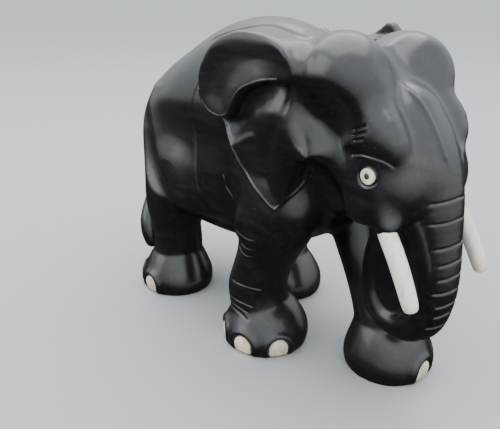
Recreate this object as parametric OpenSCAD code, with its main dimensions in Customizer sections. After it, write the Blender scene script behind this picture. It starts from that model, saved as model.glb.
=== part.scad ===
// Carved elephant: dark wood body in one block, with inlaid tusks, eyes and toenails.
// +X points to the head, +Y to the animal's left, +Z up. The soles stand on Z = 0.

/* [Overall size] */
// Length from the tail to the front of the trunk
body_length = 350; // [290:5:430]
// Height of the back above the soles
body_height = 255; // [210:5:310]
// Width across both ears
body_width = 136; // [112:2:166]

/* [Feet] */
// Diameter of each front foot at its widest
front_foot_d = 71; // [60:1:80]
// Diameter of each hind foot at its widest
hind_foot_d = 69; // [58:1:80]
// Diameter of the narrow part above each front foot
front_ankle_d = 49; // [40:1:58]
// Diameter of the narrow part above each hind foot
hind_ankle_d = 46; // [38:1:56]

/* [Tusks] */
// Diameter of a tusk where it leaves the cheek
tusk_d = 12; // [10:0.5:17]
// Length of the part of a tusk that shows
tusk_length = 52; // [40:1:75]
// Diameter of the round tenon glued into the cheek
tenon_d = 9; // [6:0.5:10]
// Length of the tenon
tenon_length = 14; // [8:1:20]

/* [Eyes] */
// Diameter of the pale eye disc
eye_d = 10; // [7:0.5:13]
// Thickness of the eye disc
eye_disc_t = 3; // [2:0.25:4]
// How far the eye disc stands out of the wood
eye_proud = 1; // [0.5:0.1:1.5]
// Diameter of the dark pupil pin
pupil_d = 2.6; // [1.6:0.2:4]
// Length of the pupil pin
pupil_length = 9; // [6:0.5:14]

/* [Toenails] */
// Width of one toenail
nail_w = 17; // [12:0.5:18.5]
// Depth that a toenail is let into the foot
nail_depth = 4; // [2.5:0.5:5]
// How far a toenail stands out of the foot
nail_proud = 0.6; // [0.2:0.1:1.2]

/* [Fits] */
// Glue gap round a tenon, an eye disc or a toenail
glue_gap = 0.1; // [0.05:0.05:0.2]

/* [Hidden] */
// The tables below are written for an animal 350 long, 136 wide and 255 tall.
sx = body_length / 350;
sy = body_width / 136;
sz = body_height / 255;
ahead = -4.5; // slides the animal so that the origin is midway along it
around = 18; // points in one ring of a limb
body_around = 26; // points in one ring of the barrel and the head
between = 2; // rings from one row to the next on a long curve
$fn = 48;

wood = [0.055, 0.048, 0.05];
bone = [0.93, 0.9, 0.8];
pin_dark = [0.2, 0.19, 0.17];

// Heights and radii of a foot, as shares of its largest radius
foot_shape = [[-1, 0.95], [5, 1], [13, 0.985], [22, 0.9], [30, 0.8]];
nail_mid_z = 7.5; // height of the middle of a toenail's arch
nail_foot_z = 0.8; // the toenails stop this far above the ground
eye_at = [(136 + ahead) * sx, 44.5 * sy, 171 * sz];
tusk_at = [(147 + ahead) * sx, 37.5 * sy, 138 * sz];
tusk_lean = 42; // degrees that a tusk's root points forward of straight down
// Toenails of each foot, in degrees outward from straight ahead
turns_front_right = [29, 79, 124];
turns_front_left = [4, 52, 100];
turns_hind = [95, 140, 185];

// Each foot: middle of the sole, and the size it takes
foot_front_right = [(34 + ahead) * sx, -30 * sy];
foot_front_left = [(123 + ahead) * sx, 20 * sy];
foot_hind_right = [(-92 + ahead) * sx, -36.5 * sy];
foot_hind_left = [(-17 + ahead) * sx, 41 * sy];

// ---- curves and skins ----

// Smooth curve from row b to row c, guided by the rows before and after
function glide(a, b, c, d, t) =
    b + 0.5 * t * ((c - a) + t * ((2 * a - 5 * b + 4 * c - d) + t * (3 * (b - c) + d - a)));
function row(table, i) = table[max(0, min(len(table) - 1, i))];
function refine(table, n) = concat(
    [for (i = [0:len(table) - 2]) for (k = [0:n - 1])
        glide(row(table, i - 1), table[i], table[i + 1], row(table, i + 2), k / n)],
    [table[len(table) - 1]]
);
// Rounded square: a power of 2 is an ellipse, and more is squarer
function squared(t, power) = sign(t) * pow(abs(t), 2 / power);
function loop(n, power) = [for (i = [0:n - 1])
    [squared(cos(360 * i / n), power), squared(sin(360 * i / n), power)]];

// Closed skin over rings that follow one another along their own normal
module skin(rings) {
    n = len(rings[0]);
    last = (len(rings) - 1) * n;
    sides = [for (j = [0:len(rings) - 2]) for (i = [0:n - 1])
        let (a = j * n + i, b = j * n + (i + 1) % n) each [[a, b + n, b], [a, a + n, b + n]]];
    start = [for (i = [0:n - 1]) i];
    end = [for (i = [n - 1:-1:0]) last + i];
    polyhedron([for (r = rings) for (p = r) p], concat(sides, [start, end]), convexity = 8);
}

// Level rings. Each row is [z, x, y, half length, half width].
module upright(table, n, power, steps = 1) {
    skin([for (r = refine(table, steps)) [for (p = loop(n, power))
        [r[1] + r[3] * p[0], r[2] + r[4] * p[1], r[0]]]]);
}

// Rings across the body. Each row is [x, top z, bottom z, half width].
module lengthwise(table, n, power) {
    skin([for (r = refine(table, between)) [for (p = loop(n, power))
        [r[0], r[3] * p[0], (r[1] + r[2]) / 2 + (r[1] - r[2]) / 2 * p[1]]]]);
}

// Rings along a bend in the middle plane. Each row is [x, z, half depth, half width].
module bent(table, n) {
    rows = refine(table, between);
    skin([for (i = [0:len(rows) - 1])
        let (r = rows[i], way = row(rows, i + 1) - row(rows, i - 1), far = norm([way[0], way[1]]))
        [for (p = loop(n, 2))
            [r[0] - r[2] * p[1] * way[1] / far, r[3] * p[0], r[1] + r[2] * p[1] * way[0] / far]]]);
}

module stretched() {
    translate([ahead * sx, 0, 0]) scale([sx, sy, sz]) children();
}

// ---- the carved block ----

module barrel() {
    stretched() lengthwise([
        [-162, 150, 126, 10], [-158, 167, 106, 24], [-147, 182, 90, 39], [-126, 198, 78, 52],
        [-98, 214, 71, 60], [-66, 231, 68, 63], [-36, 246, 68, 63], [-6, 254, 71, 61],
        [22, 252, 76, 57], [46, 244, 85, 51], [70, 232, 99, 45], [92, 214, 122, 36]
    ], body_around, 2.25);
}

module neck() {
    stretched() lengthwise([
        [50, 238, 108, 46], [72, 236, 114, 50], [92, 234, 124, 49], [108, 226, 132, 42],
        [118, 214, 140, 30]
    ], body_around, 2.4);
}

// Each row is [z, back x, front x, half width]
module skull() {
    rows = [
        [128, 112, 134, 20], [136, 106, 148, 34], [146, 100, 158, 43], [158, 95, 165, 46],
        [170, 90, 166, 45], [182, 85, 160, 43], [194, 82, 152, 42], [206, 80, 143, 44],
        [218, 80, 131, 45], [230, 84, 117, 40], [240, 92, 106, 22]
    ];
    stretched() upright(
        [for (r = rows) [r[0], (r[1] + r[2]) / 2, 0, (r[2] - r[1]) / 2, r[3]]], body_around, 2.3
    );
}

// The two round bumps on top of the head
module crown() {
    for (side = [-1, 1])
        stretched() upright([
            [166, 122, 22 * side, 26, 16], [182, 116, 25 * side, 32, 19],
            [196, 111, 28 * side, 34, 22], [208, 107, 29 * side, 33, 25],
            [220, 104, 30 * side, 31, 27], [232, 101, 30 * side, 26, 24],
            [240, 99, 29 * side, 19, 17], [244.5, 98, 29 * side, 8, 7]
        ], around, 2);
}

module brow() {
    for (side = [-1, 1])
        stretched() upright([
            [176, 142, 30 * side, 8, 7], [184, 140, 31 * side, 14, 11],
            [192, 134, 31 * side, 16, 12], [200, 126, 30 * side, 12, 9]
        ], around, 2);
}

module trunk() {
    stretched() bent([
        [126, 196, 20, 28], [140, 176, 24, 29], [150, 156, 22, 24], [158, 132, 18, 19.5],
        [164, 108, 15, 17], [165, 84, 13, 15.5], [159, 62, 12, 14], [144, 49, 11, 12.5],
        [128, 50, 9, 11], [118, 62, 7.5, 10], [115, 79, 7, 9.5], [116, 97, 8, 10],
        [121, 114, 10, 12], [124, 134, 12, 15]
    ], around);
    // thin wood left inside the curl
    stretched() upright([
        [48, 137, 0, 15, 5], [62, 139, 0, 24, 5.5], [82, 140, 0, 26, 6],
        [102, 140, 0, 24, 7], [122, 140, 0, 20, 9], [136, 140, 0, 16, 12]
    ], around, 2.4);
}

// The ears lie back against the shoulders. Each row is
// [z, rear x, front x, middle y, half thickness].
module ear(side) {
    rows = [
        [135, 70, 77, 54, 3], [141, 59, 84, 55, 5], [149, 46, 89, 56, 6], [160, 32, 95, 57, 7],
        [172, 19, 102, 57, 7.5], [184, 9, 103, 57, 8], [192, 1, 98, 58, 8], [200, -5, 92, 59, 8],
        [212, -3, 87, 58, 7.5], [224, 5, 85, 56, 7], [236, 15, 88, 52, 6.5],
        [244, 26, 84, 49, 5.5], [248, 38, 66, 47, 3.5]
    ];
    stretched() upright(
        [for (r = rows) [r[0], (r[1] + r[2]) / 2, side * r[3], (r[2] - r[1]) / 2, r[4]]],
        body_around, 2.6
    );
}

module tail() {
    stretched() upright([
        [30, -122, -47, 6, 5], [40, -127, -47, 10, 8], [56, -132, -46, 11, 9],
        [72, -138, -42, 9, 8], [88, -146, -36, 7, 7], [106, -154, -28, 6, 6],
        [126, -160, -18, 6, 6], [146, -163, -8, 7, 7], [160, -161, -2, 9, 9], [172, -152, 0, 9, 9]
    ], around, 2);
}

// One leg. The foot is round; the table gives the limb above it as
// [z, x, y, half length, half width] and the last two as shares of the ankle's radius.
module leg(foot, foot_d, ankle_d, table) {
    sole = [for (f = foot_shape)
        [f[0], foot[0], foot[1], f[1] * foot_d / 2, f[1] * foot_d / 2]];
    limb = [for (r = table)
        [r[0] * sz, (r[1] + ahead) * sx, r[2] * sy, r[3] * ankle_d / 2, r[4] * ankle_d / 2]];
    upright(concat(sole, limb), around, 2);
}

module legs() {
    leg(foot_front_right, front_foot_d, front_ankle_d, [
        [48, 32, -31, 1, 1], [66, 36, -33, 0.97, 0.95], [85, 43, -35, 1.06, 0.98],
        [105, 50, -37, 1.25, 1.05], [130, 52, -38, 1.4, 1.06], [160, 48, -34, 1.4, 1],
        [185, 44, -26, 1.05, 0.75]
    ]);
    leg(foot_front_left, front_foot_d, front_ankle_d, [
        [48, 110, 24, 1.02, 1.02], [66, 99, 26, 1.02, 0.98], [85, 88, 28, 1.1, 1],
        [105, 76, 32, 1.25, 1.05], [130, 62, 36, 1.4, 1.06], [160, 52, 34, 1.4, 1],
        [185, 44, 26, 1.05, 0.75]
    ]);
    leg(foot_hind_right, hind_foot_d, hind_ankle_d, [
        [46, -92, -35, 1, 1], [64, -91, -37, 1.05, 1], [84, -90, -39, 1.22, 1.04],
        [105, -91, -40, 1.5, 1.12], [130, -94, -40, 1.75, 1.18], [160, -94, -35, 1.8, 1.1],
        [190, -88, -26, 1.3, 0.8]
    ]);
    leg(foot_hind_left, hind_foot_d, hind_ankle_d, [
        [46, -25, 41, 1.03, 1], [64, -38, 41, 1.1, 1], [84, -53, 41, 1.26, 1.04],
        [105, -68, 41, 1.52, 1.12], [130, -82, 40, 1.75, 1.18], [160, -90, 35, 1.8, 1.1],
        [190, -88, 26, 1.3, 0.8]
    ]);
}

module carved_block() {
    resize([0, 0, 0]) union() {
        barrel();
        neck();
        skull();
        crown();
        brow();
        trunk();
        ear(-1);
        ear(1);
        tail();
        legs();
    }
}

module carved_body() {
    color(wood) difference() {
        carved_block();
        // flat soles
        translate([-body_length, -body_width, -20]) cube([2 * body_length, 2 * body_width, 20]);
        for (side = [-1, 1]) {
            at_tusk(side) translate([0, 0, -tenon_length])
                cylinder(d = tenon_d + 2 * glue_gap, h = tenon_length + tusk_d);
            at_eye(side) {
                translate([0, 0, eye_proud - eye_disc_t])
                    cylinder(d = eye_d + 2 * glue_gap, h = eye_disc_t + eye_d);
                translate([0, 0, eye_proud - pupil_length])
                    cylinder(d = pupil_d, h = pupil_length);
            }
        }
        nail_pockets(foot_front_right, front_foot_d, turns_front_right, -1);
        nail_pockets(foot_front_left, front_foot_d, turns_front_left, 1);
        nail_pockets(foot_hind_right, hind_foot_d, turns_hind, -1);
        nail_pockets(foot_hind_left, hind_foot_d, turns_hind, 1);
    }
}

// ---- tusks ----

module at_tusk(side) {
    translate([tusk_at[0], side * tusk_at[1], tusk_at[2]])
        rotate([0, 180 - tusk_lean, 0]) children();
}

// The tusk follows a shallow bend and ends in a blunt, cut tip
module tusk(side) {
    rows = [for (t = [0:0.125:1]) [t, tusk_d / 2 * (1 - 0.2 * t * t)]];
    bend = tusk_length * 0.16;
    color(bone) at_tusk(side) {
        skin(concat(
            [for (r = rows) [for (p = loop(20, 2))
                [bend * r[0] * r[0] + r[1] * p[0], r[1] * p[1], tusk_length * 0.93 * r[0]]]],
            [[for (p = loop(20, 2))
                [bend * 1.1 + tusk_d * 0.16 * p[0], tusk_d * 0.16 * p[1], tusk_length]]]
        ));
        translate([0, 0, -tenon_length]) cylinder(d = tenon_d, h = tenon_length + tusk_length / 4);
    }
}

module tusk_right() { tusk(-1); }
module tusk_left() { tusk(1); }

// ---- eyes ----

module at_eye(side) {
    translate([eye_at[0], side * eye_at[1], eye_at[2]])
        rotate([-side * 90, 0, 0]) children();
}

module eye_disc(side) {
    edge = 0.5; // rounding of the rim
    color(bone) at_eye(side) translate([0, 0, eye_proud - eye_disc_t]) difference() {
        rotate_extrude() polygon([
            [0, 0], [eye_d / 2, 0], [eye_d / 2, eye_disc_t - edge],
            [eye_d / 2 - edge, eye_disc_t], [0, eye_disc_t]
        ]);
        translate([0, 0, -1]) cylinder(d = pupil_d, h = eye_disc_t + 2);
    }
}

module eye_disc_right() { eye_disc(-1); }
module eye_disc_left() { eye_disc(1); }

module eye_pin(side) {
    color(pin_dark) at_eye(side) translate([0, 0, eye_proud - pupil_length])
        cylinder(d = pupil_d, h = pupil_length);
}

module eye_pin_right() { eye_pin(-1); }
module eye_pin_left() { eye_pin(1); }

// ---- toenails ----

// Arched plug pointing straight out of the foot, from the pocket's floor outward
module nail_plug(foot, foot_d, turn, grow, reach) {
    translate([foot[0], foot[1], nail_mid_z]) rotate([0, 0, turn])
        translate([foot_d / 2 - nail_depth, 0, 0]) intersection() {
            rotate([0, 90, 0]) cylinder(d = nail_w + 2 * grow, h = reach);
            translate([-1, -nail_w, nail_foot_z - grow - nail_mid_z])
                cube([reach + 2, 2 * nail_w, 2 * nail_w]);
        }
}

module nail_pockets(foot, foot_d, turns, side) {
    for (turn = turns) nail_plug(foot, foot_d, side * turn, glue_gap, foot_d);
}

module nail(foot, foot_d, turn) {
    skin_line = [for (f = foot_shape) [f[1] * foot_d / 2 + nail_proud, f[0]]];
    color(bone) intersection() {
        nail_plug(foot, foot_d, turn, 0, foot_d / 2);
        translate([foot[0], foot[1], 0])
            rotate_extrude() polygon(concat([[0, 30], [0, -1]], skin_line));
    }
}

module nail_front_right_1() { nail(foot_front_right, front_foot_d, -turns_front_right[0]); }
module nail_front_right_2() { nail(foot_front_right, front_foot_d, -turns_front_right[1]); }
module nail_front_right_3() { nail(foot_front_right, front_foot_d, -turns_front_right[2]); }
module nail_front_left_1() { nail(foot_front_left, front_foot_d, turns_front_left[0]); }
module nail_front_left_2() { nail(foot_front_left, front_foot_d, turns_front_left[1]); }
module nail_front_left_3() { nail(foot_front_left, front_foot_d, turns_front_left[2]); }
module nail_hind_right_1() { nail(foot_hind_right, hind_foot_d, -turns_hind[0]); }
module nail_hind_right_2() { nail(foot_hind_right, hind_foot_d, -turns_hind[1]); }
module nail_hind_right_3() { nail(foot_hind_right, hind_foot_d, -turns_hind[2]); }
module nail_hind_left_1() { nail(foot_hind_left, hind_foot_d, turns_hind[0]); }
module nail_hind_left_2() { nail(foot_hind_left, hind_foot_d, turns_hind[1]); }
module nail_hind_left_3() { nail(foot_hind_left, hind_foot_d, turns_hind[2]); }

carved_body();
tusk_right();
tusk_left();
eye_disc_right();
eye_disc_left();
eye_pin_right();
eye_pin_left();
nail_front_right_1();
nail_front_right_2();
nail_front_right_3();
nail_front_left_1();
nail_front_left_2();
nail_front_left_3();
nail_hind_right_1();
nail_hind_right_2();
nail_hind_right_3();
nail_hind_left_1();
nail_hind_left_2();
nail_hind_left_3();
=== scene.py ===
"""Looks of the carved ebony elephant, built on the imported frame."""

import logging
from dataclasses import dataclass
from enum import Enum
from typing import Callable, Protocol, Sequence

import bmesh
import bpy
import numpy as np
import openvdb
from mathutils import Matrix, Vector

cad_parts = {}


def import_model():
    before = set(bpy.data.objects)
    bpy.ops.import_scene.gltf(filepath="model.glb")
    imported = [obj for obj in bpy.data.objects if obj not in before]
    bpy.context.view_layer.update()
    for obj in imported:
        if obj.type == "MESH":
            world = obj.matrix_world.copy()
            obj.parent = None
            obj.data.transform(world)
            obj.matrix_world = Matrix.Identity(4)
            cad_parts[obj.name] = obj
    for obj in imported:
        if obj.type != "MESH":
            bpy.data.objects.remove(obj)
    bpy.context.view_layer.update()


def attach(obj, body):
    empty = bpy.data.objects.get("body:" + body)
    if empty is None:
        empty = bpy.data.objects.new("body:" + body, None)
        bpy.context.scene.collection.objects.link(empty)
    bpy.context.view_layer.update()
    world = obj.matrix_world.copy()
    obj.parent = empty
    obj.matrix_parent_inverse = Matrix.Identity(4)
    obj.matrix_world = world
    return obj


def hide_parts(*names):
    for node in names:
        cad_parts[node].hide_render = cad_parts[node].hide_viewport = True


LOG = logging.getLogger("elephant")
MM = 0.001
AHEAD = -4.5  # the carving's own tables slide this far along X into the frame

Vec = Sequence[float]
Table = Sequence[Sequence[float]]


class Side(Enum):
    """A side of the animal, with its sign along Y."""

    RIGHT = -1
    LEFT = 1


# ---- clay: a smooth solid kept as distances on a grid ----


def glide(rows: Table, steps: int) -> np.ndarray:
    """Puts smooth in-between rows into a table.

    Args:
        rows: the table's rows, each of the same length.
        steps: how many rows come out for each row that goes in.

    Returns:
        The finer table, which still passes through every given row.
    """
    table = np.array(rows, float)
    last = len(table) - 1
    out = []
    for i in range(last):
        a, b = table[max(i - 1, 0)], table[i]
        c, d = table[i + 1], table[min(i + 2, last)]
        for t in np.arange(steps) / steps:
            bend = 2 * a - 5 * b + 4 * c - d + t * (3 * (b - c) + d - a)
            out.append(b + 0.5 * t * (c - a + t * bend))
    return np.array(out + [table[last]])


def soft_min(a: np.ndarray, b: np.ndarray, blend: float) -> np.ndarray:
    """Joins two fields with a fillet.

    Args:
        a: distances to the first solid.
        b: distances to the second solid.
        blend: size of the fillet.

    Returns:
        Distances to both solids together.
    """
    if blend <= 0:
        return np.minimum(a, b)
    near = np.maximum(blend - np.abs(a - b), 0) / blend
    return np.minimum(a, b) - near * near * (blend / 4)


class Form(Protocol):
    """A solid given by its distances, which are negative inside it."""

    def reach(self) -> tuple[np.ndarray, np.ndarray]:
        """Returns the lowest and highest corner that the form can reach."""

    def distance(self, x: np.ndarray, y: np.ndarray, z: np.ndarray) -> np.ndarray:
        """Gives each sample's distance to the form's surface, negative inside it."""


@dataclass(frozen=True)
class Egg:
    """An ellipsoid, which may be tilted."""

    middle: Vec
    radii: Vec
    tilt_y: float = 0.0
    tilt_z: float = 0.0

    def reach(self) -> tuple[np.ndarray, np.ndarray]:
        """Returns the lowest and highest corner that the egg can reach.

        Returns:
            The corners, in millimetres.
        """
        m, r = np.array(self.middle, float), max(self.radii)
        if not (self.tilt_y or self.tilt_z):
            return m - np.array(self.radii), m + np.array(self.radii)
        return m - r, m + r

    def distance(self, x: np.ndarray, y: np.ndarray, z: np.ndarray) -> np.ndarray:
        """Gives the rough distance to the egg's surface.

        Args:
            x: X of the samples.
            y: Y of the samples.
            z: Z of the samples.

        Returns:
            Distances, negative inside.
        """
        u, v, w = x - self.middle[0], y - self.middle[1], z - self.middle[2]
        if self.tilt_z:
            c, s = np.cos(np.radians(self.tilt_z)), np.sin(np.radians(self.tilt_z))
            u, v = c * u + s * v, c * v - s * u
        if self.tilt_y:
            c, s = np.cos(np.radians(self.tilt_y)), np.sin(np.radians(self.tilt_y))
            u, w = c * u - s * w, c * w + s * u
        a, b, c = self.radii
        k0 = np.sqrt((u / a) ** 2 + (v / b) ** 2 + (w / c) ** 2)
        k1 = np.sqrt((u / a**2) ** 2 + (v / b**2) ** 2 + (w / c**2) ** 2)
        return k0 * (k0 - 1) / np.maximum(k1, 1e-6)


@dataclass(frozen=True)
class Rope:
    """A bent round bar whose thickness changes along it. Rows are x, y, z, radius."""

    rows: Table
    steps: int = 4

    def reach(self) -> tuple[np.ndarray, np.ndarray]:
        """Returns the lowest and highest corner of the bar."""
        t = glide(self.rows, self.steps)
        return (t[:, :3] - t[:, 3:]).min(0), (t[:, :3] + t[:, 3:]).max(0)

    def distance(self, x: np.ndarray, y: np.ndarray, z: np.ndarray) -> np.ndarray:
        """Gives the distance to the bar.

        Args:
            x: X of the samples.
            y: Y of the samples.
            z: Z of the samples.

        Returns:
            Distances, negative inside.
        """
        t = glide(self.rows, self.steps)
        out = np.full(np.broadcast_shapes(x.shape, y.shape, z.shape), 60.0, np.float32)
        for (ax, ay, az, ra), (bx, by, bz, rb) in zip(t[:-1], t[1:]):
            dx, dy, dz = bx - ax, by - ay, bz - az
            u, v, w = x - ax, y - ay, z - az
            along = (u * dx + v * dy + w * dz) / max(dx * dx + dy * dy + dz * dz, 1e-6)
            along = np.clip(along, 0, 1)
            far = np.sqrt((u - along * dx) ** 2 + (v - along * dy) ** 2 + (w - along * dz) ** 2)
            np.minimum(out, far - ra - along * (rb - ra), out=out)
        return out


def oval(u: np.ndarray, v: np.ndarray, a: np.ndarray, b: np.ndarray, power: float) -> np.ndarray:
    """Gives the distance to a rounded-square outline.

    Args:
        u: first offset from the outline's middle.
        v: second offset.
        a: half size along the first offset.
        b: half size along the second.
        power: 2 for an ellipse, more for a squarer outline.

    Returns:
        Distances in the outline's plane, negative inside.
    """
    p, q = np.abs(u / a) + 1e-4, np.abs(v / b) + 1e-4
    total = p**power + q**power
    size = total ** (1 / power)
    slope = size / total * np.sqrt((p ** (power - 1) / a) ** 2 + (q ** (power - 1) / b) ** 2)
    return (size - 1) / np.maximum(slope, 1e-4)


@dataclass(frozen=True)
class Upright:
    """A stack of level outlines. Rows are z, x, y, half length, half width."""

    rows: Table
    power: float = 2.0

    def reach(self) -> tuple[np.ndarray, np.ndarray]:
        """Returns the lowest and highest corner of the stack.

        Returns:
            The corners, in millimetres.
        """
        t = glide(self.rows, 3)
        low = [(t[:, 1] - t[:, 3]).min(), (t[:, 2] - t[:, 4]).min(), t[:, 0].min()]
        high = [(t[:, 1] + t[:, 3]).max(), (t[:, 2] + t[:, 4]).max(), t[:, 0].max()]
        return np.array(low), np.array(high)

    def distance(self, x: np.ndarray, y: np.ndarray, z: np.ndarray) -> np.ndarray:
        """Gives the rough distance to the stack.

        Args:
            x: X of the samples.
            y: Y of the samples.
            z: Z of the samples.

        Returns:
            Distances, negative inside.
        """
        t = glide(self.rows, 8)
        level = np.clip(z, t[0, 0], t[-1, 0])
        cx, cy, a, b = (np.interp(level, t[:, 0], t[:, i]).astype(np.float32) for i in (1, 2, 3, 4))
        side = oval(x - cx, y - cy, a, b, self.power)
        ends = np.maximum(z - t[-1, 0], t[0, 0] - z)
        return np.maximum(side, ends)


@dataclass(frozen=True)
class Across:
    """Outlines across the body. Rows are x, top z, bottom z, half width."""

    rows: Table
    power: float = 2.0

    def reach(self) -> tuple[np.ndarray, np.ndarray]:
        """Returns the lowest and highest corner of the form.

        Returns:
            The corners, in millimetres.
        """
        t = glide(self.rows, 3)
        wide = t[:, 3].max()
        return (
            np.array([t[:, 0].min(), -wide, t[:, 2].min()]),
            np.array([t[:, 0].max(), wide, t[:, 1].max()]),
        )

    def distance(self, x: np.ndarray, y: np.ndarray, z: np.ndarray) -> np.ndarray:
        """Gives the rough distance to the form.

        Args:
            x: X of the samples.
            y: Y of the samples.
            z: Z of the samples.

        Returns:
            Distances, negative inside.
        """
        t = glide(self.rows, 8)
        place = np.clip(x, t[0, 0], t[-1, 0])
        top, low, wide = (
            np.interp(place, t[:, 0], t[:, i]).astype(np.float32) for i in (1, 2, 3)
        )
        side = oval(y, z - (top + low) / 2, wide, (top - low) / 2, self.power)
        ends = np.maximum(x - t[-1, 0], t[0, 0] - x)
        return np.maximum(side, ends)


class Clay:
    """A solid that forms are added to and cut from, in millimetres."""

    def __init__(self, low: Vec, high: Vec, pitch: float) -> None:
        """Makes empty clay.

        Args:
            low: lowest corner of the block of samples.
            high: highest corner.
            pitch: distance between samples.
        """
        self.low = np.array(low, float)
        self.pitch = pitch
        count = np.ceil((np.array(high, float) - self.low) / pitch).astype(int) + 1
        axes = [
            (self.low[i] + pitch * np.arange(count[i])).astype(np.float32) for i in range(3)
        ]
        self.x = axes[0][:, None, None]
        self.y = axes[1][None, :, None]
        self.z = axes[2][None, None, :]
        self.solid = np.full(tuple(count), 30.0, np.float32)

    def window(self, form: Form, margin: float) -> tuple[slice, slice, slice]:
        """Finds the samples near a form.

        Args:
            form: the form that is added or cut.
            margin: how far past the form the samples go.

        Returns:
            One slice for each axis.
        """
        low, high = form.reach()
        start = np.floor((low - margin - self.low) / self.pitch).astype(int)
        stop = np.ceil((high + margin - self.low) / self.pitch).astype(int) + 1
        size = self.solid.shape
        return tuple(
            slice(int(np.clip(start[i], 0, size[i])), int(np.clip(stop[i], 0, size[i])))
            for i in range(3)
        )

    def measure(self, form: Form, box: tuple[slice, slice, slice]) -> np.ndarray:
        """Returns a form's distances at the samples of a window."""
        spot = form.distance(self.x[box[0]], self.y[:, box[1]], self.z[:, :, box[2]])
        return spot.astype(np.float32)

    def add(self, form: Form, blend: float = 6.0) -> None:
        """Joins a form on, with a fillet of the given size."""
        box = self.window(form, blend + 4)
        self.solid[box] = soft_min(self.solid[box], self.measure(form, box), blend)

    def cut(self, form: Form, blend: float = 6.0) -> None:
        """Cuts a form away, with a rounded edge of the given size."""
        box = self.window(form, blend + 4)
        self.solid[box] = -soft_min(-self.solid[box], self.measure(form, box), blend)

    def both(self, make: Callable[[int], Form], blend: float, cut: bool = False) -> None:
        """Adds or cuts, on the right and on the left, the form made for each side's sign."""
        for side in Side:
            (self.cut if cut else self.add)(make(side.value), blend)

    def smooth(self, passes: int) -> None:
        """Softens the whole solid a little, more with more passes.

        Args:
            passes: how many times each sample takes a share of its neighbours.
        """
        for _ in range(passes):
            for axis in range(3):
                s = np.moveaxis(self.solid, axis, 0)
                s[1:-1] = 0.25 * s[:-2] + 0.5 * s[1:-1] + 0.25 * s[2:]

    def quads(self) -> tuple[np.ndarray, np.ndarray]:
        """Turns the solid's surface into four-sided faces.

        Returns:
            The points, in millimetres, and the faces' point numbers.
        """
        solid = np.maximum(self.solid, -self.z)
        reach = 4 * self.pitch
        grid = openvdb.FloatGrid(reach)
        grid.copyFromArray(np.clip(solid, -reach, reach) / self.pitch)
        points, faces = grid.convertToQuads(0.0)
        return points * self.pitch + self.low, faces


# ---- pieces, feet and inlays ----


class Assembly:
    """A part of the elephant, which builds its meshes and dresses them."""

    def dress(self, piece: bpy.types.Object, node: str, slot: str, mat: bpy.types.Material) -> None:
        """Gives a piece its finish and its place in the frame.

        Args:
            piece: the finished piece.
            node: the frame's node that it stands for.
            slot: the frame's material slot; not used.
            mat: the finish.
        """
        piece.data.materials.append(mat)
        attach(piece, "root")
        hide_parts(node)
        LOG.info("%s: %d faces for %s", piece.name, len(piece.data.polygons), node)


def place(mesh: bpy.types.Mesh) -> bpy.types.Object:
    """Puts a mesh in the scene.

    Args:
        mesh: the mesh, whose name the piece takes.

    Returns:
        The new piece, smooth shaded.
    """
    mesh.shade_smooth()
    piece = bpy.data.objects.new(mesh.name, mesh)
    bpy.context.scene.collection.objects.link(piece)
    return piece


def skin(rings: Sequence[Sequence[Vec]], name: str) -> bpy.types.Object:
    """Joins rings of points into one closed piece.

    Args:
        rings: the rings, each with as many points, in millimetres.
        name: the piece's name.

    Returns:
        The new piece.
    """
    shape = bmesh.new()
    loops = [[shape.verts.new(Vector(spot) * MM) for spot in ring] for ring in rings]
    for low, high in zip(loops[:-1], loops[1:]):
        for j in range(len(low)):
            k = (j + 1) % len(low)
            shape.faces.new((low[j], low[k], high[k], high[j]))
    shape.faces.new(loops[0][::-1])
    shape.faces.new(loops[-1])
    bmesh.ops.remove_doubles(shape, verts=shape.verts, dist=1e-6)
    bmesh.ops.dissolve_degenerate(shape, edges=shape.edges, dist=1e-7)
    bmesh.ops.recalc_face_normals(shape, faces=shape.faces)
    mesh = bpy.data.meshes.new(name)
    shape.to_mesh(mesh)
    shape.free()
    return place(mesh)


def circle(count: int) -> list[tuple[float, float]]:
    """Returns the cosine and sine of evenly spaced directions."""
    angles = 2 * np.pi * np.arange(count) / count
    return list(zip(np.cos(angles), np.sin(angles)))


# Heights on a foot, and its radius there as a share of the largest
FOOT_BELL = (
    (-4, 0.91), (2, 0.975), (8, 1), (14, 0.985), (20, 0.925), (26, 0.83), (31, 0.72), (35, 0.58),
    (38, 0.4),
)


@dataclass(frozen=True)
class Foot:
    """A round foot, with the directions that its toenails face."""

    name: str
    side: Side
    sole: Vec  # X and Y of its middle, before the slide along X
    radius: float
    turns: Vec  # degrees outward from straight ahead


FEET = (
    Foot("front_right", Side.RIGHT, (33.3, -30.3), 35.5, (24, 75, 122)),
    Foot("front_left", Side.LEFT, (121, 19), 33.5, (4, 52, 100)),
    Foot("hind_right", Side.RIGHT, (-92, -36.5), 34.0, (88, 137, 185)),
    Foot("hind_left", Side.LEFT, (-17, 40.5), 34.0, (88, 137, 185)),
)


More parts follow.
